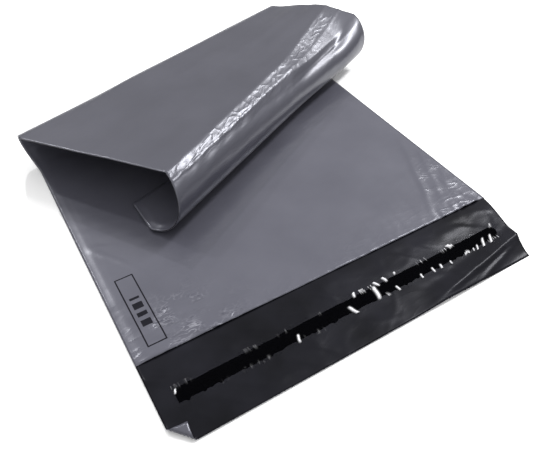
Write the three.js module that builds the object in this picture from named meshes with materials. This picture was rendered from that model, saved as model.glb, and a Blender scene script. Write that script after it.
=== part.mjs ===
// A poly mailer lying on its back, its sealed end turned up and rolled over towards the mouth.
// Units are millimetres, +Z is up, +Y runs from the mouth to the rolled end.
import * as THREE from 'three';

// Bag, laid out flat
const WIDTH = 101.6;
const FLAT_LENGTH = 86.6;
const ROLLED_LENGTH = 92.4;
const POCKET_LENGTH = FLAT_LENGTH + ROLLED_LENGTH;
const FLAP_DEPTH = 20.9;
const PLY_THICKNESS = 0.35;
const POCKET_GAP = 0.3;
const BAG_THICKNESS = 2 * PLY_THICKNESS + POCKET_GAP;

// Mesh of the bag: the seals take one column or a few rows of it
const COLUMNS = 16;
const COLUMN_WIDTH = WIDTH / COLUMNS;
const BOTTOM_SEAL_ROWS = 3;

// Rolled end: the roll's axis is turned from the width of the bag by the skew angle
const SKEW = THREE.MathUtils.degToRad(17.8);
const ROW_DEPTH = COLUMN_WIDTH * Math.tan(SKEW);
const TURN_START = FLAT_LENGTH;
const BACK_RADIUS = 6.8;
const RESTING_CLEARANCE = 0.3;
const TAIL_HEIGHT = BAG_THICKNESS + RESTING_CLEARANCE;

// Front curl of the roll: reach from the turn and radius at two stations along the roll's axis
const WIDE_STATION = -13.6;
const WIDE_CURL_REACH = 46.1;
const WIDE_CURL_RADIUS = 7.8;
const NARROW_STATION = 67.8;
const NARROW_CURL_REACH = 33.4;
const NARROW_CURL_RADIUS = 7.6;

// The film slips along the roll's axis as it winds, faster and faster towards the end of the turn
const SLIP_IN_A_TURN = 23.7;
const SLIP_GROWTH = 1.4;

// Lifted corner of the flap
const CORNER_REACH = 5.2;
const CORNER_LIFT = THREE.MathUtils.degToRad(75);

// The flap's other corner is drawn in sideways, less and less up to this far from the edge
const DRAW_WIDTH = 45;
const DRAWN_IN = 5.7;

// Closure strip on the flap
const STRIP_END_MARGIN = 4.55;
const STRIP_LENGTH = WIDTH - 2 * STRIP_END_MARGIN;
const STRIP_DEPTH = 3.6;
const STRIP_THICKNESS = 0.3;
const STRIP_CENTRE_Y = -10.6;
const LINER_OVERHANG = 0.7;
const LINER_THICKNESS = 0.3;
const LINER_LONG_RIPPLE = 0.11;
const LINER_SHORT_RIPPLE = 0.07;
const LINER_WAVE_LENGTH = 7.4;
const LINER_WAVE_RATIO = 2.3;
const LINER_WAVE_SLANT = 2.5;
const LINER_COLUMNS = 60;
const LINER_ROWS = 4;
const ROUND_END_STEPS = 8;

// Printed outline near the left edge
const PRINT_WIDTH = 4.7;
const PRINT_LENGTH = 21.4;
const PRINT_LINE = 0.35;
const PRINT_THICKNESS = 0.15;
const PRINT_INSET = 4.05;
const PRINT_MOUTH_MARGIN = 2.9;
const PRINT_CENTRE_X = -WIDTH / 2 + PRINT_INSET + PRINT_WIDTH / 2;
const PRINT_CENTRE_Y = PRINT_MOUTH_MARGIN + PRINT_LENGTH / 2;

// Closed solid from a block of cells: `isSolid` picks the cells, `place` puts each corner in space
function cellSolid(columns, rows, layers, isSolid, place) {
  const positions = [];
  const indices = [];
  const known = new Map();

  function corner(i, j, k) {
    const key = `${i},${j},${k}`;
    if (!known.has(key)) {
      known.set(key, positions.length / 3);
      positions.push(...place(i, j, k));
    }
    return known.get(key);
  }

  function face(a, b, c, d) {
    indices.push(a, b, c, a, c, d);
  }

  function filled(i, j, k) {
    const inside = i >= 0 && j >= 0 && k >= 0 && i < columns && j < rows && k < layers;
    return inside && isSolid(i, j, k);
  }

  for (let k = 0; k < layers; k++) {
    for (let j = 0; j < rows; j++) {
      for (let i = 0; i < columns; i++) {
        if (!filled(i, j, k)) {
          continue;
        }
        const c = (di, dj, dk) => corner(i + di, j + dj, k + dk);
        if (!filled(i, j, k + 1)) {
          face(c(0, 0, 1), c(1, 0, 1), c(1, 1, 1), c(0, 1, 1));
        }
        if (!filled(i, j, k - 1)) {
          face(c(0, 0, 0), c(0, 1, 0), c(1, 1, 0), c(1, 0, 0));
        }
        if (!filled(i - 1, j, k)) {
          face(c(0, 0, 0), c(0, 0, 1), c(0, 1, 1), c(0, 1, 0));
        }
        if (!filled(i + 1, j, k)) {
          face(c(1, 0, 0), c(1, 1, 0), c(1, 1, 1), c(1, 0, 1));
        }
        if (!filled(i, j - 1, k)) {
          face(c(0, 0, 0), c(1, 0, 0), c(1, 0, 1), c(0, 0, 1));
        }
        if (!filled(i, j + 1, k)) {
          face(c(0, 1, 0), c(0, 1, 1), c(1, 1, 1), c(1, 1, 0));
        }
      }
    }
  }
  const geometry = new THREE.BufferGeometry();
  geometry.setAttribute('position', new THREE.Float32BufferAttribute(positions, 3));
  geometry.setIndex(indices);
  geometry.computeVertexNormals();
  return geometry;
}

// Section of the roll at one station: distance along the film to a point and a heading
function rollSection(station, distance) {
  const share = (station - WIDE_STATION) / (NARROW_STATION - WIDE_STATION);
  const run = THREE.MathUtils.lerp(WIDE_CURL_REACH, NARROW_CURL_REACH, share);
  const curlCentre = TURN_START - run;
  const curlRadius = THREE.MathUtils.lerp(WIDE_CURL_RADIUS, NARROW_CURL_RADIUS, share);
  const curlHeight = TAIL_HEIGHT + curlRadius;
  const rise = curlHeight - BACK_RADIUS;
  const centreDistance = Math.hypot(run, rise);
  const slope = Math.atan2(rise, run) + Math.asin((curlRadius - BACK_RADIUS) / centreDistance);
  const topLength = Math.sqrt(centreDistance ** 2 - (curlRadius - BACK_RADIUS) ** 2);
  const backTurn = Math.PI - slope;
  const curlTurn = Math.PI + slope;

  let left = distance - TURN_START;
  if (left <= 0) {
    return { forward: distance, up: 0, heading: 0 };
  }
  if (left <= BACK_RADIUS * backTurn) {
    const heading = left / BACK_RADIUS;
    return {
      forward: TURN_START + BACK_RADIUS * Math.sin(heading),
      up: BACK_RADIUS * (1 - Math.cos(heading)),
      heading,
    };
  }
  left -= BACK_RADIUS * backTurn;
  if (left <= topLength) {
    return {
      forward: TURN_START + BACK_RADIUS * Math.sin(backTurn) + left * Math.cos(backTurn),
      up: BACK_RADIUS * (1 - Math.cos(backTurn)) + left * Math.sin(backTurn),
      heading: backTurn,
    };
  }
  left -= topLength;
  if (left <= curlRadius * curlTurn) {
    const heading = backTurn + left / curlRadius;
    return {
      forward: curlCentre + curlRadius * Math.sin(heading),
      up: curlHeight - curlRadius * Math.cos(heading),
      heading,
    };
  }
  left -= curlRadius * curlTurn;
  return { forward: curlCentre + left, up: TAIL_HEIGHT, heading: 2 * Math.PI };
}

// Flat position on the bag and height in its thickness to a point in space
function placeOnBag(x, y, depth) {
  const station = x * Math.cos(SKEW) + y * Math.sin(SKEW);
  const distance = -x * Math.sin(SKEW) + y * Math.cos(SKEW);
  const { forward, up, heading } = rollSection(station, distance);
  const across = forward - depth * Math.sin(heading);
  const along = station - SLIP_IN_A_TURN * (heading / (2 * Math.PI)) ** SLIP_GROWTH;
  return [
    along * Math.cos(SKEW) - across * Math.sin(SKEW),
    along * Math.sin(SKEW) + across * Math.cos(SKEW),
    up + depth * Math.cos(heading),
  ];
}

// Rows of the bag: flap end, corner hinge, mouth, then even rows through the rolled end
const rolledRows = Math.ceil((POCKET_LENGTH - TURN_START / Math.cos(SKEW)) / ROW_DEPTH)
  + Math.ceil(COLUMNS / 2);
const rowPositions = [-FLAP_DEPTH, -FLAP_DEPTH + CORNER_REACH, 0];
for (let row = rolledRows; row >= 0; row--) {
  rowPositions.push(POCKET_LENGTH - row * ROW_DEPTH);
}
const mouthRow = rowPositions.indexOf(0);
const bagRows = rowPositions.length - 1;
const depths = [0, PLY_THICKNESS, PLY_THICKNESS + POCKET_GAP, BAG_THICKNESS];

function bagCell(i, j, k) {
  if (k === 0) {
    return true;
  }
  const sealed = i === 0 || i === COLUMNS - 1 || j >= bagRows - BOTTOM_SEAL_ROWS;
  return j >= mouthRow && (k === 2 || sealed);
}

// Place across the bag, once the flap's corner is drawn in
function drawnIn(x, y) {
  const share = Math.max(0, 1 - (WIDTH / 2 - x) / DRAW_WIDTH) ** 2;
  const flapShare = Math.max(0, -y) / FLAP_DEPTH;
  return x - DRAWN_IN * share * flapShare;
}

function bagPoint(i, j, k) {
  const y = rowPositions[j];
  const x = drawnIn(-WIDTH / 2 + i * COLUMN_WIDTH, y);
  if (i === 0 && j === 0) {
    // The corner turns up about the line from the hinge row to the next column
    const hinge = new THREE.Vector3(COLUMN_WIDTH, -CORNER_REACH, 0).normalize();
    const start = new THREE.Vector3(x, rowPositions[1], 0);
    const arm = new THREE.Vector3(x, y, depths[k]).sub(start);
    return arm.applyAxisAngle(hinge, -CORNER_LIFT).add(start).toArray();
  }
  return placeOnBag(x, y, depths[k]);
}

// Flat piece on the bag, drawn in with what it lies on
function slab(outline, thickness, bottom) {
  const geometry = new THREE.ExtrudeGeometry(outline, {
    depth: thickness,
    bevelEnabled: false,
    curveSegments: ROUND_END_STEPS,
  });
  geometry.translate(0, 0, bottom);
  const points = geometry.attributes.position;
  for (let v = 0; v < points.count; v++) {
    points.setX(v, drawnIn(points.getX(v), points.getY(v)));
  }
  return geometry;
}

function stripOutline() {
  const radius = STRIP_DEPTH / 2;
  const half = STRIP_LENGTH / 2;
  const outline = new THREE.Shape();
  outline.moveTo(-half, STRIP_CENTRE_Y - radius);
  outline.lineTo(half - radius, STRIP_CENTRE_Y - radius);
  outline.absarc(half - radius, STRIP_CENTRE_Y, radius, -Math.PI / 2, Math.PI / 2, false);
  outline.lineTo(-half, STRIP_CENTRE_Y + radius);
  outline.closePath();
  return outline;
}

function rectangle(shape, width, length) {
  shape.moveTo(PRINT_CENTRE_X - width / 2, PRINT_CENTRE_Y - length / 2);
  shape.lineTo(PRINT_CENTRE_X + width / 2, PRINT_CENTRE_Y - length / 2);
  shape.lineTo(PRINT_CENTRE_X + width / 2, PRINT_CENTRE_Y + length / 2);
  shape.lineTo(PRINT_CENTRE_X - width / 2, PRINT_CENTRE_Y + length / 2);
  shape.closePath();
  return shape;
}

function printOutline() {
  const outline = rectangle(new THREE.Shape(), PRINT_WIDTH, PRINT_LENGTH);
  outline.holes.push(
    rectangle(new THREE.Path(), PRINT_WIDTH - 2 * PRINT_LINE, PRINT_LENGTH - 2 * PRINT_LINE),
  );
  return outline;
}

// The liner lies flat underneath and is gathered into ripples on top
function linerPoint(i, j, k) {
  const length = STRIP_LENGTH + 2 * LINER_OVERHANG;
  const depth = STRIP_DEPTH + 2 * LINER_OVERHANG;
  const x = (i / LINER_COLUMNS - 0.5) * length;
  const across = j / LINER_ROWS - 0.5;
  const y = STRIP_CENTRE_Y + across * depth;
  const bottom = PLY_THICKNESS + STRIP_THICKNESS;
  const phase = (2 * Math.PI * x) / LINER_WAVE_LENGTH;
  const slant = LINER_WAVE_SLANT * across;
  const longWave = LINER_LONG_RIPPLE * (1 + Math.sin(phase + slant));
  const shortWave = LINER_SHORT_RIPPLE * (1 + Math.sin(LINER_WAVE_RATIO * phase - slant));
  const fade = Math.cos(Math.PI * across) ** 2;
  const top = bottom + LINER_THICKNESS + (longWave + shortWave) * fade;
  return [drawnIn(x, y), y, k === 0 ? bottom : top];
}

function piece(name, geometry, color, roughness) {
  const material = new THREE.MeshStandardMaterial({ color, roughness, metalness: 0 });
  const mesh = new THREE.Mesh(geometry, material);
  mesh.name = name;
  return mesh;
}

const mailer = new THREE.Group();
mailer.name = 'poly_mailer';
mailer.add(
  piece('mailer_film', cellSolid(COLUMNS, bagRows, 3, bagCell, bagPoint), '#6c6c76', 0.35),
  piece('adhesive_strip', slab(stripOutline(), STRIP_THICKNESS, PLY_THICKNESS), '#0a0a0d', 0.5),
  piece(
    'release_liner',
    cellSolid(LINER_COLUMNS, LINER_ROWS, 1, () => true, linerPoint),
    '#1b1b20',
    0.12,
  ),
  piece('print_frame', slab(printOutline(), PRINT_THICKNESS, BAG_THICKNESS), '#2c2c32', 0.5),
);

// Stand the mailer on the floor, centred over the origin
const bounds = new THREE.Box3().setFromObject(mailer);
const centre = bounds.getCenter(new THREE.Vector3());
for (const mesh of mailer.children) {
  mesh.geometry.translate(-centre.x, -centre.y, -bounds.min.z);
}

export default mailer;
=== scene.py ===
"""A grey film mailer with its sealed end rolled over, seen from above its open flap."""

import math

import bpy
import numpy as np
from mathutils import Matrix, Vector


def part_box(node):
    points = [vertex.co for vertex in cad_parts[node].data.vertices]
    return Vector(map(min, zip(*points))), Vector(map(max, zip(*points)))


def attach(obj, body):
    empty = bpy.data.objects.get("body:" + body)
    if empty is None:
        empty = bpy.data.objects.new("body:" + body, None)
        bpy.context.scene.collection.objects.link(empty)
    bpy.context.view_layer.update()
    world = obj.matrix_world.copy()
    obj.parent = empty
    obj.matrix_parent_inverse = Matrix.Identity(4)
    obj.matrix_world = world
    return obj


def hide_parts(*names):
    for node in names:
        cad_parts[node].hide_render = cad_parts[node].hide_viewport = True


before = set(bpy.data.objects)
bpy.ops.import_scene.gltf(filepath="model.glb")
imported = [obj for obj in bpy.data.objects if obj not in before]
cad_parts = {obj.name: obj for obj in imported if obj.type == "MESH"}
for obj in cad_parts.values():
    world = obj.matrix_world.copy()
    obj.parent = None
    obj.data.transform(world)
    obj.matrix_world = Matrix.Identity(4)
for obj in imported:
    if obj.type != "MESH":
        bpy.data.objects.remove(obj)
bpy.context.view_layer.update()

MM = 0.001
UV_UNIT = 100.0

# Bag, laid out flat, in millimetres: x across from the middle, y from the mouth to the sealed end
WIDTH = 101.6
HALF = WIDTH / 2
POCKET_LENGTH = 179.0
FLAP_DEPTH = 20.9
FILM = 0.12
BAG_THICKNESS = 1.0
SEAL_WIDTH = 3.0
BOTTOM_SEAL = 4.0

# Where the bag lies flat: the plies' levels over its underside, and how the front ply stands off
BACK_LEVEL = 0.12
FRONT_LEVEL = 0.36
FRONT_LOFT = 0.14
LEAST_LOFT = 0.03
SEAL_DENT = 0.03

# The same where the bag is rolled
ROLLED_LEVEL = 0.35
ROLLED_PLY_STEP = 0.16
ROLLED_LOFT = 0.3

# Rolled end: the bag lies flat up to FLAT_LENGTH, measured square to the roll's axis
SKEW = math.radians(17.8)
FLAT_LENGTH = 86.6
BACK_RADIUS = 6.8
TAIL_HEIGHT = 1.3

# The creases of the flat bag give way to those of the roll between these two
FLAT_CREASES_END = FLAT_LENGTH - 6
ROLL_CREASES_START = FLAT_LENGTH + 5

# Front curl: its reach and radius at two stations along the roll's axis
WIDE_STATION = -13.6
WIDE_REACH = 46.1
WIDE_RADIUS = 7.8
NARROW_STATION = 67.8
NARROW_REACH = 33.4
NARROW_RADIUS = 7.6
CURL_RADIUS = (WIDE_RADIUS + NARROW_RADIUS) / 2

# The film slips along the roll's axis as it winds, more and more towards the end of the turn
SLIP_IN_A_TURN = 23.7
SLIP_GROWTH = 1.4

# Two creases along the crest of the front curl: stations, and lengths past the curl's start
FIRST_CREASE = ((0, 32, 55, 78, 94), (-0.4, -2.5, -4.1, -8.0, -10.4))
SECOND_CREASE = ((4, 20, 48, 73, 94), (3.1, 2.1, 0.0, -2.0, -5.2))

# Slopes of the bevel between the creases and of the steeper one past them: stations and slopes
BEVEL_SLOPE = ((10, 40, 90), (0.42, 0.45, 0.48))
STEEP_SLOPE = ((45, 90), (0.62, 0.48))

# Towards its right end the roll bulges and its bevels fade
BULGE = 2.0
BEVEL_FADE = 0.55

# Heights of the roll's sags, streaks, creases and crinkles
ROLL_SAG = 0.18
ROLL_STREAK = 0.10
CREASE_LINE = 0.10
CREST_CRINKLE = 0.045

# Heights of the front ply's sags, of its gathers at the mouth and of its creases
LONG_SAG = 0.16
SHORT_SAG = 0.06
MOUTH_GATHER = 0.08
RIGHT_MOUTH_GATHER = 0.34
LOWER_LEFT_CREASE = 0.34
RIGHT_EDGE_CREASE = 0.28
PULLED_CREASE = 0.3
UPPER_LEFT_CREASE = 0.2

# How crinkled the film is where nothing creases it, and so its painted glints: front ply and roll,
# lying back ply
LEAST_CRINKLE = 0.02
BACK_CRINKLE = 0.03

# Two long creases from the mouth up near the right edge: line of the first, gap to the second
PULLED_X = 36.5
PULLED_Y = 6.5
PULLED_LEAN = 0.447
PULLED_GAP = 4.5

# Right corner of the flap: how far it is drawn in sideways, and how far from the edge that reaches
DRAWN_IN = 5.7
DRAW_WIDTH = 45.0

# Flap: its level over the bag's underside, and the fold that runs slanting over the right corner
FLAP_LEVEL = 0.34
FOLD_X = 17
FOLD_Y = -20.0
FOLD_LEAN = 0.14
FOLD_HEIGHT = 0.9
MARGIN_LEVEL = 0.12
SECOND_FOLD_GAP = 1.2
SECOND_FOLD_X = 45
SECOND_FOLD_LEAN = 0.10

# Heights of the flap's waves, ripples, creases and wisps, and of its lift towards the right end
FLAP_WAVE = 0.25
FLAP_RIPPLE = 0.10
FLAP_CREASE = 0.10
FLAP_WISP = 0.28
END_LIFT = 0.2

# Curled corner of the flap: reaches along its two edges, radius and angle of the curl
CORNER_SIDE_REACH = 5.2
CORNER_END_REACH = 4.6
CORNER_RADIUS = 0.4
CORNER_ANGLE = math.radians(168)

# Glue strip
STRIP_LENGTH = 92.5
STRIP_DEPTH = 3.6
STRIP_Y = -10.6
STRIP_CROWN = 0.16
STRIP_SINK = 0.02
STRIP_END_RADIUS = STRIP_DEPTH / 2

# Release liner
LINER_OVERHANG = 0.8
LINER_FILM = 0.03
LINER_LIFT = 0.17
GATHER_HEIGHT = 0.22

# Gathers of the liner, which carry its painted glints: x and y of the middle and half the length,
# in millimetres, and the lean
GATHERS = (
    (42.6, -12.3, 1.6, 0.62),
    (39.8, -12.3, 1.7, 0.6),
    (37.1, -12.7, 1.0, 0.55),
    (35.8, -12.6, 0.5, 0.4),
    (32.7, -12.6, 0.4, 0.37),
    (30.4, -8.3, 1.0, -0.5),
    (29.4, -7.9, 0.9, -0.9),
    (27.3, -12.9, 0.7, 0.05),
    (24.0, -12.8, 1.1, 0.26),
    (21.6, -12.4, 0.9, 0.1),
    (17.6, -12.5, 0.8, 0.2),
    (12.4, -7.9, 1.0, 0.4),
    (10.2, -12.4, 0.9, -0.1),
    (8.9, -8.2, 1.4, -0.2),
    (6.2, -8.1, 1.5, -0.5),
    (5.0, -10.8, 2.1, 0.2),
    (0.3, -8.0, 1.4, 0.45),
    (-2.5, -12.3, 1.8, -0.35),
    (-17.4, -12.0, 1.1, 0.2),
    (-45.9, -9.6, 0.6, 0.3),
)

# Printed outline, and the bars in it: how far from its near end each starts, and its length
PRINT_WIDTH = 4.7
PRINT_LENGTH = 21.4
PRINT_LINE = 0.34
PRINT_X = -44.4
PRINT_Y = 13.6
BAR_HALF_WIDTH = 1.2
BARS = ((5.4, 1.9), (8.4, 1.2), (10.7, 1.9), (13.7, 0.7))

# Steps between the points of each sheet; a stretch of rows is its end and its step
COLUMN_STEP = 0.6
BACK_ROWS = ((0, 0.55), (64.0, 2.2), (132.0, 1.0), (166.0, 0.45), (POCKET_LENGTH, 0.8))
FRONT_ROWS = ((64.0, 0.6), (POCKET_LENGTH, 0.9))
STRIP_STEP = 0.2
STRIP_ROWS = 13
LINER_STEP = 0.15
LINER_ROWS = 29

# The frame's origin, seen from the middle of the mouth
strip_low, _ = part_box("adhesive_strip")
ORIGIN_X = -STRIP_LENGTH / 2 - strip_low[0] / MM
ORIGIN_Y = STRIP_Y - STRIP_DEPTH / 2 - strip_low[1] / MM


# Smooth value noise in two dimensions, the same on every run
def hashed(ix, iy, seed):
    n = (ix * 374761393 + iy * 668265263 + seed * 974634777) & 0xFFFFFFFF
    n = ((n ^ (n >> 13)) * 1274126177) & 0xFFFFFFFF
    n = n ^ (n >> 16)
    return (n & 0xFFFF) / 32767.5 - 1.0


def noise(x, y, seed):
    ix = np.floor(x).astype(np.int64)
    iy = np.floor(y).astype(np.int64)
    fx = x - ix
    fy = y - iy
    ux = fx * fx * fx * (fx * (fx * 6 - 15) + 10)
    uy = fy * fy * fy * (fy * (fy * 6 - 15) + 10)
    near = hashed(ix, iy, seed) * (1 - ux) + hashed(ix + 1, iy, seed) * ux
    far = hashed(ix, iy + 1, seed) * (1 - ux) + hashed(ix + 1, iy + 1, seed) * ux
    return near * (1 - uy) + far * uy


def wander(x, seed):
    """Noise along one direction only."""
    return noise(x, np.full_like(x, 0.5), seed)


def ridges(x, y, seed):
    """Sharp creases where smooth noise changes sign, from 0 between them to 1 on them."""
    warp_x = x + 0.6 * noise(x * 0.7, y * 0.7, seed + 31)
    warp_y = y + 0.6 * noise(x * 0.7, y * 0.7, seed + 57)
    return np.clip(1 - 3.2 * np.abs(noise(warp_x, warp_y, seed)), 0, 1)


def smooth(a, b, v):
    """0 at a and before it, 1 at b and past it, an even S between; a may be the greater."""
    t = np.clip((v - a) / (b - a), 0, 1)
    return t * t * (3 - 2 * t)


def band(v, centre, width):
    """1 at the centre, falling away evenly on both sides."""
    return np.exp(-(((v - centre) / width) ** 2))


def to_station(x, y):
    """Station along the roll's axis, and distance square to it."""
    return x * math.cos(SKEW) + y * math.sin(SKEW), y * math.cos(SKEW) - x * math.sin(SKEW)


def roll_section(station, distance):
    """Section of the roll: forward distance, height, heading, and length past the curl's start."""
    share = (station - WIDE_STATION) / (NARROW_STATION - WIDE_STATION)
    reach = WIDE_REACH + (NARROW_REACH - WIDE_REACH) * share
    radius = WIDE_RADIUS + (NARROW_RADIUS - WIDE_RADIUS) * share
    centre = FLAT_LENGTH - reach
    height = TAIL_HEIGHT + radius
    rise = height - BACK_RADIUS
    apart = np.hypot(reach, rise)
    slope = np.arctan2(rise, reach) + np.arcsin((radius - BACK_RADIUS) / apart)
    top = np.sqrt(apart**2 - (radius - BACK_RADIUS) ** 2)
    back_turn = math.pi - slope
    left = distance - FLAT_LENGTH
    along_top = left - BACK_RADIUS * back_turn
    along_curl = along_top - top
    tail = along_curl - radius * (math.pi + slope)
    turning = np.clip(left / BACK_RADIUS, 0, back_turn)
    curling = back_turn + np.clip(along_curl / radius, 0, math.pi + slope)
    stretches = [left <= 0, along_top <= 0, along_curl <= 0, tail <= 0]
    forward = np.select(
        stretches,
        [
            distance,
            FLAT_LENGTH + BACK_RADIUS * np.sin(turning),
            FLAT_LENGTH + BACK_RADIUS * np.sin(back_turn) + along_top * np.cos(back_turn),
            centre + radius * np.sin(curling),
        ],
        centre + tail,
    )
    up = np.select(
        stretches,
        [
            np.zeros_like(distance),
            BACK_RADIUS * (1 - np.cos(turning)),
            BACK_RADIUS * (1 - np.cos(back_turn)) + along_top * np.sin(back_turn),
            height - radius * np.cos(curling),
        ],
        TAIL_HEIGHT,
    )
    flat = np.zeros_like(distance)
    heading = np.select(stretches, [flat, turning, back_turn, curling], 2 * math.pi)
    return forward, up, heading, along_curl


def place(x, y, depth):
    """Bag position and height in the bag's thickness to points in the frame, in metres."""
    share = np.clip(1 - (HALF - x) / DRAW_WIDTH, 0, None) ** 2
    x = x - DRAWN_IN * share * np.clip(-y, 0, None) / FLAP_DEPTH
    station, distance = to_station(x, y)
    forward, up, heading, _ = roll_section(station, distance)
    across = forward - depth * np.sin(heading)
    along = station - SLIP_IN_A_TURN * (heading / (2 * math.pi)) ** SLIP_GROWTH
    px = along * math.cos(SKEW) - across * math.sin(SKEW) - ORIGIN_X
    py = along * math.sin(SKEW) + across * math.cos(SKEW) - ORIGIN_Y
    pz = up + depth * np.cos(heading)
    return np.stack([px, py, pz], -1) * MM


def rolled_share(x, y):
    """0 where the bag lies flat, 1 where it is rolled."""
    _, distance = to_station(x, y)
    return smooth(FLAT_CREASES_END, ROLL_CREASES_START, distance)


def pressed_in(past, first, second, slope, steep_slope):
    """Depth of the crest's two bevels inside the round curl, in millimetres."""
    steep_end = steep_slope * CURL_RADIUS
    bevel = slope * (np.clip(past, first, second) - first)
    steep = steep_slope * (np.clip(past, second, steep_end) - second)
    return bevel + steep - np.clip(past, 0, steep_end) ** 2 / (2 * CURL_RADIUS)


def roll_relief(x, y):
    """Creases and sags of the rolled film, in millimetres, and how crinkled it is there, which also
    sets the painted highlight along the crest.
    """
    station, distance = to_station(x, y)
    _, _, _, past = roll_section(station, distance)
    first = np.interp(station, *FIRST_CREASE)
    second = np.interp(station, *SECOND_CREASE)
    slope = np.interp(station, *BEVEL_SLOPE)
    steep_slope = np.interp(station, *STEEP_SLOPE)
    # The creases waver along the crest, but the nose below them stays even
    drift = 0.35 * wander(station / 11, 7) + 0.25 * wander(station / 4, 8)
    wavering = pressed_in(past, first + drift, second + drift, slope, steep_slope)
    even = pressed_in(past, first, second, slope, steep_slope)
    on_nose = smooth(0.5, 4.0, past - second)
    pressed = (wavering + (even - wavering) * on_nose) * smooth(19, 5, past)
    pressed *= 1 - BEVEL_FADE * smooth(82, 97, station)
    bulge = BULGE * smooth(60, 92, station) * smooth(-34, -12, past) * smooth(26, 8, past)
    crest = band(past, (first + second) / 2, 0.6 * (second - first) + 0.4)
    lines = band(past, first + 0.3, 0.5) + band(past, second - 0.2, 0.5)
    across = noise(station / 2.2, past / 6, 9) + 0.7 * noise(station / 1.2, past / 3, 10)
    streaks = noise(station / 40, past / 3.5, 15) * smooth(2, -8, past)
    sag = ROLL_SAG * noise(station / 26, past / 17, 3) * smooth(8, -4, past)
    sag += ROLL_STREAK * streaks
    relief = sag + bulge - pressed + CREASE_LINE * lines + CREST_CRINKLE * crest * across
    # The crest's crinkle amount also paints white lines along it: a painted highlight
    crinkle = LEAST_CRINKLE + 0.28 * crest
    return relief, crinkle


def flat_relief(x, y):
    """Creases of the front ply where it lies flat, and how crinkled it is there, which also sets
    its painted glints.
    """
    sag = LONG_SAG * noise(x / 27, y / 31, 3) + SHORT_SAG * noise(x / 12, y / 17, 4)
    near_mouth = np.exp(-np.abs(y) / 4.0)
    gathers = noise(x / 3.1 + 0.12 * y, y / 9, 11) + 0.6 * noise(x / 1.4 - 0.1 * y, y / 6, 12)
    lower_left = band(x, -37, 11) * band(y, 5, 9)
    right_edge = smooth(33, 50, x) * band(y, 8, 12)
    slanting = ridges((x - 0.5 * y) / 16, (y + 0.4 * x) / 3.5, 13)
    along_edge = ridges((x - 0.3 * y) / 4, (y + 0.3 * x) / 20, 14)
    aside = x - PULLED_X - PULLED_LEAN * (y - PULLED_Y) - 0.6 * wander(y / 6, 18)
    pulled = (band(aside, 0, 1.0) + 0.7 * band(aside, PULLED_GAP, 0.8)) * band(y, 17, 13)
    upper_left = ridges((x + y) / 11, (y - x) / 30, 19) * band(x, -46, 5) * band(y, 28, 12)
    gathered = MOUTH_GATHER + RIGHT_MOUTH_GATHER * smooth(10, 45, x)
    relief = sag + near_mouth * gathered * gathers
    relief += LOWER_LEFT_CREASE * lower_left * slanting
    relief += RIGHT_EDGE_CREASE * right_edge * along_edge
    relief += PULLED_CREASE * pulled + UPPER_LEFT_CREASE * upper_left
    # Patches low on the left, at the right edge and along the mouth get painted glints as well as
    # crinkles
    patches = smooth(-0.5, 0.6, noise(x / 4.5, y / 2.5, 20))
    crinkle = LEAST_CRINKLE + (lower_left + 0.5 * right_edge) * patches + 0.16 * near_mouth
    return relief, crinkle


def flap_height(x, y):
    """Height of the flap's inner side, which lies a little wavy on the floor."""
    wave = FLAP_WAVE * noise(x / 13, y / 9, 21) + FLAP_RIPPLE * noise(x / 4, y / 6, 22)
    crease = FLAP_CREASE * ridges((x - 0.5 * y) / 9, (y + 0.4 * x) / 8, 23)
    end_lift = END_LIFT * smooth(30, HALF, x) * (1 + 0.4 * noise(x / 5, y / 4, 24))
    wisps = ridges((x + 1.3 * y) / 7, (y - 0.6 * x) / 22, 26) * smooth(-1.5, -5.0, y)
    beside_strip = band(y + 5.0, 0, 3.0) + 0.7 * band(y + 17.0, 0, 3.0)
    level = FLAP_LEVEL + 0.5 * np.clip(wave + crease + 0.25, 0, 1) + end_lift
    level += FLAP_WISP * wisps * beside_strip
    # The film rises to the fold, and the margin past it slopes to the floor
    past_fold = FOLD_Y + FOLD_LEAN * (x - FOLD_X) + 0.15 * wander(x / 5, 25) - y
    folded = smooth(8, 26, x)
    ridge = 0.25 * band(past_fold, -0.2, 0.5)
    raised = level + folded * (FOLD_HEIGHT * smooth(-4.5, -0.3, past_fold) + ridge)
    from_second = past_fold - SECOND_FOLD_GAP - SECOND_FOLD_LEAN * (SECOND_FOLD_X - x)
    second_fold = band(from_second, 0, 0.45) * smooth(26, 38, x)
    margin = MARGIN_LEVEL + FOLD_HEIGHT * smooth(4.6, 0.2, past_fold) + 0.3 * second_fold
    return raised + (margin - raised) * smooth(-0.2, 0.8, past_fold) * folded


def curl_corner(points, x, y):
    """Curls the near-left corner of the flap up and over, about a slanting line."""
    side_point = np.array([-HALF, -FLAP_DEPTH + CORNER_SIDE_REACH])
    end_point = np.array([-HALF + CORNER_END_REACH, -FLAP_DEPTH])
    crease = (end_point - side_point) / np.linalg.norm(end_point - side_point)
    outward = np.array([crease[1], -crease[0]])
    beyond = (x - side_point[0]) * outward[0] + (y - side_point[1]) * outward[1]
    beyond = np.clip(beyond, 0, None)
    bent = np.clip(beyond / CORNER_RADIUS, 0, CORNER_ANGLE)
    straight = np.clip(beyond - CORNER_RADIUS * CORNER_ANGLE, 0, None)
    reach = CORNER_RADIUS * np.sin(bent) + straight * math.cos(CORNER_ANGLE)
    lift = CORNER_RADIUS * (1 - np.cos(bent)) + straight * math.sin(CORNER_ANGLE)
    points[..., 0] += (reach - beyond) * outward[0] * MM
    points[..., 1] += (reach - beyond) * outward[1] * MM
    points[..., 2] += lift * MM


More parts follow.
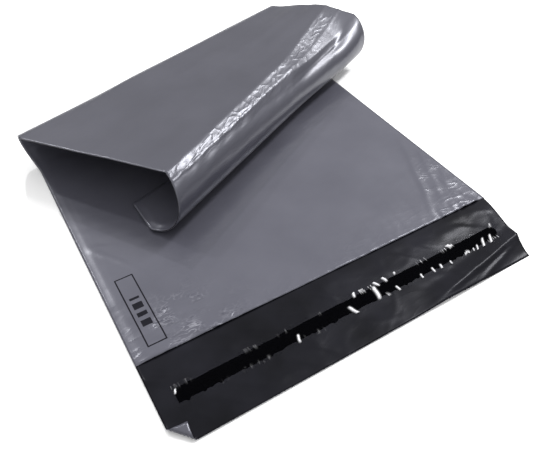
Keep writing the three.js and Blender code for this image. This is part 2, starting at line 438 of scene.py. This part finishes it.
def sheet_mesh(name, xs, ys, points, **attributes):
    """A grid of points as one smooth surface, with the bag's flat coordinates as its UV map."""
    index = np.arange(points.shape[0] * points.shape[1]).reshape(points.shape[:2])
    corners = [index[:-1, :-1], index[:-1, 1:], index[1:, 1:], index[1:, :-1]]
    quads = np.stack(corners, -1).reshape(-1, 4)
    mesh = bpy.data.meshes.new(name)
    mesh.from_pydata(points.reshape(-1, 3).tolist(), [], quads.tolist())
    mesh.polygons.foreach_set("use_smooth", [True] * len(mesh.polygons))
    layer = mesh.uv_layers.new(name="bag")
    flat = np.stack(np.meshgrid(xs, ys), -1).reshape(-1, 2) / UV_UNIT
    loops = np.empty(len(mesh.loops), dtype=np.int32)
    mesh.loops.foreach_get("vertex_index", loops)
    layer.data.foreach_set("uv", flat[loops].ravel())
    for key, values in attributes.items():
        mesh.attributes.new(key, "FLOAT", "POINT").data.foreach_set("value", values.ravel())
    obj = bpy.data.objects.new(name, mesh)
    bpy.context.scene.collection.objects.link(obj)
    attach(obj, "root")
    return obj


def thicken(obj, thickness, second_side=0):
    """Gives an open sheet its film thickness and closes its edges."""
    modifier = obj.modifiers.new("film", "SOLIDIFY")
    modifier.thickness = thickness * MM
    modifier.offset = 0
    modifier.use_rim = True
    modifier.material_offset = second_side
    modifier.material_offset_rim = second_side


def spaced(start, stop, step):
    """Even places from start to stop, as near to the step as comes out whole."""
    return np.linspace(start, stop, max(2, int(round((stop - start) / step)) + 1))


def spaced_rows(start, stretches):
    """Places from start on, through stretches that each have their own end and step."""
    rows = [[start]]
    for stop, step in stretches:
        rows.append(spaced(start, stop, step)[1:])
        start = stop
    return np.concatenate(rows)


def make_back_ply(columns):
    """The back ply, whose inner side shows on the flap and whose outer side shows on the roll."""
    rows = spaced_rows(-FLAP_DEPTH, BACK_ROWS)
    x, y = np.meshgrid(columns, rows)
    rolled = rolled_share(x, y)
    relief, crest_crinkle = roll_relief(x, y)
    on_flap = smooth(2.0, -3.0, y)
    lying = BACK_LEVEL + on_flap * (flap_height(x, y) - FILM / 2 - BACK_LEVEL)
    depth = lying * (1 - rolled) + rolled * (ROLLED_LEVEL - relief)
    # Crinkle amount, which also sets painted glints: low where the back ply lies, the crest's
    # painted highlight where rolled
    crinkle = (1 - rolled) * BACK_CRINKLE + rolled * crest_crinkle
    points = place(x, y, depth)
    curl_corner(points, x, y)
    ply = sheet_mesh("back_ply", columns, rows, points, crinkle=crinkle)
    thicken(ply, FILM, second_side=1)
    return ply


def make_front_ply(columns):
    """The front ply, from the mouth to the sealed end, sealed at both sides and at that end."""
    rows = spaced_rows(0, FRONT_ROWS)
    x, y = np.meshgrid(columns, rows)
    rolled = rolled_share(x, y)
    relief, _ = roll_relief(x, y)
    lying_relief, crinkle = flat_relief(x, y)
    side_gap = HALF - np.abs(x)
    unsealed = smooth(0.4, SEAL_WIDTH, side_gap) * smooth(0, BOTTOM_SEAL, POCKET_LENGTH - y)
    lying = FRONT_LEVEL + unsealed * np.clip(FRONT_LOFT + lying_relief, LEAST_LOFT, None)
    lying -= SEAL_DENT * band(side_gap, SEAL_WIDTH, 0.5)
    wound = ROLLED_LEVEL - relief + ROLLED_PLY_STEP + ROLLED_LOFT * unsealed
    depth = lying * (1 - rolled) + rolled * wound
    ply = sheet_mesh("front_ply", columns, rows, place(x, y, depth), crinkle=crinkle)
    thicken(ply, FILM, second_side=1)
    return ply


def make_glue_strip():
    """The glue strip, a low black band with a rounded right end and a ragged near edge."""
    xs = spaced(-STRIP_LENGTH / 2, STRIP_LENGTH / 2, STRIP_STEP)
    vs = np.linspace(-0.5, 0.5, STRIP_ROWS)
    x, v = np.meshgrid(xs, vs)
    to_end = np.clip((STRIP_LENGTH / 2 - x) / STRIP_END_RADIUS, 0, 1)
    half_depth = STRIP_END_RADIUS * np.sqrt(np.clip(1 - (1 - to_end) ** 2, 0.001, 1))
    teeth = np.clip(wander(x / 0.75, 43), 0, 1) * smooth(-0.1, -0.5, v)
    y = STRIP_Y + v * 2 * half_depth + 0.12 * wander(x / 1.7, 42) - 0.55 * teeth
    crown = STRIP_CROWN * np.sqrt(np.clip(1 - (2 * v) ** 2, 0, 1))
    points = place(x, y, flap_height(x, y) - STRIP_SINK + crown)
    return sheet_mesh("glue_strip", xs, vs, points)


def make_liner():
    """The release liner, a clear film over the strip, with glints on its gathers painted as white
    film.
    """
    half_length = STRIP_LENGTH / 2 + LINER_OVERHANG
    xs = spaced(-half_length, half_length, LINER_STEP)
    vs = np.linspace(-0.5, 0.5, LINER_ROWS)
    x, v = np.meshgrid(xs, vs)
    y = STRIP_Y + v * (STRIP_DEPTH + 2 * LINER_OVERHANG) + 0.25 * wander(x / 2.2, 51)
    # Where white glints are painted: on the gathers, and in small creases near the liner's edges
    glint = np.zeros_like(x)
    for middle_x, middle_y, half, lean in GATHERS:
        aside = x - middle_x - lean * (y - middle_y) - 0.15 * wander(y / 0.9 + middle_x, 55)
        width = 0.07 + 0.12 * half
        glint += band(aside, 0, width) * smooth(half, 0.5 * half, np.abs(y - middle_y))
    small = ridges(x / 0.8 + 0.5 * v, v * 1.2, 52) * smooth(0.15, 0.7, noise(x / 2.4, v * 3, 53))
    small *= 0.35 + 0.65 * smooth(-15, 5, x)
    at_edge = smooth(0.2, 0.42, np.abs(v))
    glint = np.clip(glint + 0.55 * small**2 * at_edge, 0, 1)
    height = flap_height(x, y) + LINER_LIFT + GATHER_HEIGHT * glint
    height += 0.06 * noise(x / 1.8, v * 2, 54)
    liner = sheet_mesh("clear_liner", xs, vs, place(x, y, height), glint=glint)
    thicken(liner, LINER_FILM)
    return liner


columns = spaced(-HALF, HALF, COLUMN_STEP)
back_ply = make_back_ply(columns)
front_ply = make_front_ply(columns)
glue_strip = make_glue_strip()
liner = make_liner()


def srgb(r, g, b):
    return tuple(((v / 255 + 0.055) / 1.055) ** 2.4 for v in (r, g, b)) + (1.0,)


# Colours and shines of the film
FILM_TINT = (0.9, 0.91, 1.0, 1.0)
# Colour of the glints painted on crinkled film
PAINTED_GLINT_COLOUR = srgb(160, 160, 168)
INK = srgb(26, 26, 31)
LIGHTER = 8
BLUER = 9
FRONT_SPECULAR = 0.5
INK_SPECULAR = 0.06


def set_inputs(node, values):
    for key, value in values.items():
        node.inputs[key].default_value = value


def new_material(name, **looks):
    """A material with its node tree and shader, whose inputs are given by name."""
    material = bpy.data.materials.new(name)
    material.use_nodes = True
    shader = material.node_tree.nodes["Principled BSDF"]
    set_inputs(shader, {key.replace("_", " "): value for key, value in looks.items()})
    return material, material.node_tree, shader


def add(tree, kind, **values):
    """A node with its inputs, or else its settings, given by name."""
    node = tree.nodes.new(kind)
    for key, value in values.items():
        if key in node.inputs:
            node.inputs[key].default_value = value
        else:
            setattr(node, key, value)
    return node


def math_node(tree, operation, *values):
    """The socket of a sum or the like of sockets and numbers."""
    node = add(tree, "ShaderNodeMath", operation=operation)
    for socket, value in zip(node.inputs, values):
        if isinstance(value, (int, float)):
            socket.default_value = value
        else:
            tree.links.new(value, socket)
    return node.outputs[0]


def map_range(tree, value, low, high, to_low, to_high):
    """The socket of a value carried from one range to another and kept within it."""
    node = add(tree, "ShaderNodeMapRange")
    set_inputs(node, {"From Min": low, "From Max": high, "To Min": to_low, "To Max": to_high})
    tree.links.new(value, node.inputs["Value"])
    return node.outputs["Result"]


def mix_colour(tree, share, first, second):
    """The socket of a mix of two colours: the first a socket, the second fixed."""
    node = add(tree, "ShaderNodeMix", data_type="RGBA")
    tree.links.new(share, node.inputs["Factor"])
    tree.links.new(first, node.inputs[6])
    node.inputs[7].default_value = second
    return node.outputs[2]


def noise_colour(tree, coordinates, scale, dark, light):
    """The socket of a colour that wanders from dark to light."""
    source = add(tree, "ShaderNodeTexNoise", Scale=scale, Detail=3.0)
    if coordinates:
        tree.links.new(coordinates, source.inputs["Vector"])
    ramp = add(tree, "ShaderNodeValToRGB")
    ramp.color_ramp.elements[0].position = 0.3
    ramp.color_ramp.elements[0].color = dark
    ramp.color_ramp.elements[1].position = 0.72
    ramp.color_ramp.elements[1].color = light
    tree.links.new(source.outputs["Fac"], ramp.inputs["Fac"])
    return ramp.outputs["Color"]


def film_material(name, dark, light, roughness, specular, haze):
    """Blown film: a faint haze all over, and fine crinkles where the sheet has them, with glints
    painted white on the most crinkled.
    """
    material, tree, shader = new_material(
        name, Roughness=roughness, Specular_IOR_Level=specular, Specular_Tint=FILM_TINT
    )
    flat = add(tree, "ShaderNodeUVMap", uv_map="bag").outputs["UV"]
    crinkles = add(tree, "ShaderNodeTexNoise", Scale=46.0, Detail=2.0, Distortion=0.6)
    fine = add(tree, "ShaderNodeTexNoise", Scale=110.0, Detail=1.0, Distortion=0.3)
    for texture in (crinkles, fine):
        texture.noise_type = "RIDGED_MULTIFRACTAL"
        texture.inputs["Offset"].default_value = 1.0
    soft = add(tree, "ShaderNodeTexNoise", Scale=9.0, Detail=2.0)
    stretched = add(tree, "ShaderNodeMapping", Scale=(0.5, 1.0, 1.0))
    tree.links.new(flat, stretched.inputs["Vector"])
    for texture in (crinkles, fine, soft):
        tree.links.new(stretched.outputs["Vector"], texture.inputs["Vector"])
    # Painted glints: fine white lines in the colour where the film is crinkled most
    amount = add(tree, "ShaderNodeAttribute", attribute_name="crinkle").outputs["Fac"]
    lines = map_range(tree, fine.outputs["Fac"], 0.9, 1.9, 0.0, 1.0)
    painted_glints = math_node(tree, "MULTIPLY", lines, math_node(tree, "MULTIPLY", amount, amount))
    colour = mix_colour(tree, painted_glints, noise_colour(tree, flat, 6.0, dark, light), PAINTED_GLINT_COLOUR)
    tree.links.new(colour, shader.inputs["Base Color"])
    sharp = math_node(tree, "MULTIPLY", crinkles.outputs["Fac"], amount)
    height = math_node(tree, "ADD", sharp, math_node(tree, "MULTIPLY", soft.outputs["Fac"], haze))
    bump = add(tree, "ShaderNodeBump", Strength=1.0, Distance=0.0002)
    tree.links.new(height, bump.inputs["Height"])
    tree.links.new(bump.outputs["Normal"], shader.inputs["Normal"])
    return material


def grey_film(name, level, roughness, specular):
    """Grey film, a little blue, from its level to somewhat lighter."""
    dark = srgb(level, level, level + BLUER)
    light = srgb(level + LIGHTER, level + LIGHTER, level + LIGHTER + BLUER)
    return film_material(name, dark, light, roughness, specular, haze=2.0)


def inside(tree, value, low_edge, high_edge):
    above = math_node(tree, "GREATER_THAN", value, low_edge / UV_UNIT)
    below = math_node(tree, "LESS_THAN", value, high_edge / UV_UNIT)
    return math_node(tree, "MULTIPLY", above, below)


def rectangle_mask(tree, x, y, left, right, near, far):
    return math_node(tree, "MULTIPLY", inside(tree, x, left, right), inside(tree, y, near, far))


def printed_film(name):
    """Grey film with an outlined box and plain bars printed in dark ink."""
    material = grey_film(name, level=74, roughness=0.28, specular=FRONT_SPECULAR)
    tree = material.node_tree
    shader = tree.nodes["Principled BSDF"]
    flat = add(tree, "ShaderNodeUVMap", uv_map="bag").outputs["UV"]
    split = add(tree, "ShaderNodeSeparateXYZ")
    tree.links.new(flat, split.inputs["Vector"])
    x, y = split.outputs["X"], split.outputs["Y"]
    left, right = PRINT_X - PRINT_WIDTH / 2, PRINT_X + PRINT_WIDTH / 2
    near, far = PRINT_Y - PRINT_LENGTH / 2, PRINT_Y + PRINT_LENGTH / 2
    outer = rectangle_mask(tree, x, y, left, right, near, far)
    line = PRINT_LINE
    inner = rectangle_mask(tree, x, y, left + line, right - line, near + line, far - line)
    ink = math_node(tree, "SUBTRACT", outer, inner)
    bar_left, bar_right = PRINT_X - BAR_HALF_WIDTH, PRINT_X + BAR_HALF_WIDTH
    for start, length in BARS:
        begin = near + start
        bar = rectangle_mask(tree, x, y, bar_left, bar_right, begin, begin + length)
        ink = math_node(tree, "MAXIMUM", ink, bar)
    plain = shader.inputs["Base Color"].links[0].from_socket
    tree.links.new(mix_colour(tree, ink, plain, INK), shader.inputs["Base Color"])
    duller = INK_SPECULAR - FRONT_SPECULAR
    shine = math_node(tree, "MULTIPLY_ADD", ink, duller, FRONT_SPECULAR)
    tree.links.new(shine, shader.inputs["Specular IOR Level"])
    return material


def clear_material(name):
    """Clear film that shows only where it has a glint, painted there as white, glossy film."""
    # White base colour of the painted glints
    material, tree, shader = new_material(name, Base_Color=(0.85, 0.85, 0.88, 1), Roughness=0.15)
    see_through = add(tree, "ShaderNodeBsdfTransparent")
    glint = add(tree, "ShaderNodeAttribute", attribute_name="glint").outputs["Fac"]
    speckle = add(tree, "ShaderNodeTexNoise", Scale=900.0, Detail=1.0)
    amount = math_node(tree, "MULTIPLY", glint, speckle.outputs["Fac"])
    amount = math_node(tree, "MULTIPLY", amount, 1.9)
    amount.node.use_clamp = True
    blend = add(tree, "ShaderNodeMixShader")
    tree.links.new(amount, blend.inputs["Fac"])
    tree.links.new(see_through.outputs["BSDF"], blend.inputs[1])
    tree.links.new(shader.outputs["BSDF"], blend.inputs[2])
    tree.links.new(blend.outputs["Shader"], tree.nodes["Material Output"].inputs["Surface"])
    return material


# The roll's outer grey is a darker copy of the front ply's grey film: painted shade on the roll
shaded_outer_grey = grey_film("grey_outer_shaded", level=51, roughness=0.33, specular=1.0)
printed_grey = printed_film("grey_printed")
# Black film whose colour wanders from near black to dark grey; its lighter clouds are partly
# painted sheen
inner_black = film_material(
    "black_inner", srgb(4, 4, 7), srgb(25, 25, 31), roughness=0.3, specular=0.12, haze=3.2
)

# The first material is for a ply's upper side as the bag lies flat, the second for its underside
for ply, sides in ((back_ply, (inner_black, shaded_outer_grey)), (front_ply, (printed_grey, inner_black))):
    for material in sides:
        ply.data.materials.append(material)

glue, tree, shader = new_material("black_glue", Roughness=0.6, IOR=1.02)
colour = noise_colour(tree, None, 260.0, srgb(1, 1, 2), srgb(4, 4, 7))
tree.links.new(colour, shader.inputs["Base Color"])
glue_strip.data.materials.append(glue)
liner.data.materials.append(clear_material("clear_film"))

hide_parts("mailer_film", "print_frame")
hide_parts("mailer_film")
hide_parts("adhesive_strip")
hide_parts("release_liner")

# Floor
FLOOR_REACH = 3
around = ((-1, -1), (1, -1), (1, 1), (-1, 1))
floor_corners = [(x * FLOOR_REACH, y * FLOOR_REACH, 0) for x, y in around]
floor_mesh = bpy.data.meshes.new("floor")
floor_mesh.from_pydata(floor_corners, [], [(0, 1, 2, 3)])
floor = bpy.data.objects.new("floor", floor_mesh)
bpy.context.scene.collection.objects.link(floor)
pale, _, _ = new_material(
    "pale_floor", Base_Color=(0.95, 0.95, 0.95, 1), Roughness=0.9, Specular_IOR_Level=0.1
)
floor_mesh.materials.append(pale)

# Studio light that fades towards the horizon
HORIZON_LIGHT = 0.25
OVERHEAD_LIGHT = 1.12
world = bpy.data.worlds.new("studio")
bpy.context.scene.world = world
world.use_nodes = True
tree = world.node_tree
split = add(tree, "ShaderNodeSeparateXYZ")
tree.links.new(add(tree, "ShaderNodeTexCoord").outputs["Generated"], split.inputs["Vector"])
strength = map_range(tree, split.outputs["Z"], 0.1, 0.75, HORIZON_LIGHT, OVERHEAD_LIGHT)
background = tree.nodes["Background"]
background.inputs["Color"].default_value = (1, 1, 1, 1)
tree.links.new(strength, background.inputs["Strength"])


def lamp(name, first_end, second_end, depth, power, mirrored=True):
    """A strip of light between two points, in metres, that may show in the mailer's gloss."""
    first, second = Vector(first_end), Vector(second_end)
    data = bpy.data.lights.new(name, "AREA")
    data.shape = "RECTANGLE"
    data.size = (second - first).length
    data.size_y = depth
    data.energy = power
    obj = bpy.data.objects.new(name, data)
    middle = (first + second) / 2
    across = (second - first).normalized()
    away = (middle - across * middle.dot(across)).normalized()
    turned = Matrix((across, away.cross(across), away)).transposed().to_4x4()
    obj.matrix_world = Matrix.Translation(middle) @ turned
    obj.visible_glossy = mirrored
    bpy.context.scene.collection.objects.link(obj)


# A lamp behind the roll for its shadow, one behind it on the left, a long one over its right end
lamp("behind", (0.10, 0.49, 0.50), (0.11, 0.49, 0.50), depth=0.01, power=1.5, mirrored=False)
lamp("behind_left", (-0.20, 0.48, 0.50), (-0.17, 0.50, 0.50), depth=0.03, power=1.0)
lamp("over_right", (0.31, 0.0, 0.55), (0.53, 0.13, 0.42), depth=0.10, power=3.1)

# Camera, fitted to the straight edges of the bag, in millimetres from the middle of the mouth
CAMERA_X = -57.57
CAMERA_Y = -67.51
CAMERA_HEIGHT = 104.49
PITCH = math.radians(46.087)
YAW = math.radians(30.156)
CAMERA_ROLL = 0.01234
FOCAL_PIXELS = 560.85
IMAGE_WIDTH = 533
SENSOR_WIDTH = 36.0

camera_data = bpy.data.cameras.new("camera")
camera_data.sensor_width = SENSOR_WIDTH
camera_data.lens = FOCAL_PIXELS / IMAGE_WIDTH * SENSOR_WIDTH
camera_data.clip_start = 0.005
camera = bpy.data.objects.new("camera", camera_data)
bpy.context.scene.collection.objects.link(camera)
level_right = Vector((math.cos(YAW), -math.sin(YAW), 0))
level_ahead = Vector((math.sin(YAW), math.cos(YAW), 0))
ahead = level_ahead * math.cos(PITCH) - Vector((0, 0, 1)) * math.sin(PITCH)
level_up = level_right.cross(ahead)
right = level_right * math.cos(CAMERA_ROLL) - level_up * math.sin(CAMERA_ROLL)
up = level_up * math.cos(CAMERA_ROLL) + level_right * math.sin(CAMERA_ROLL)
turn = Matrix((right, up, -ahead)).transposed().to_4x4()
eye = Vector((CAMERA_X - ORIGIN_X, CAMERA_Y - ORIGIN_Y, CAMERA_HEIGHT + BAG_THICKNESS)) * MM
camera.matrix_world = Matrix.Translation(eye) @ turn
bpy.context.scene.camera = camera
bpy.context.scene.view_settings.view_transform = "Standard"
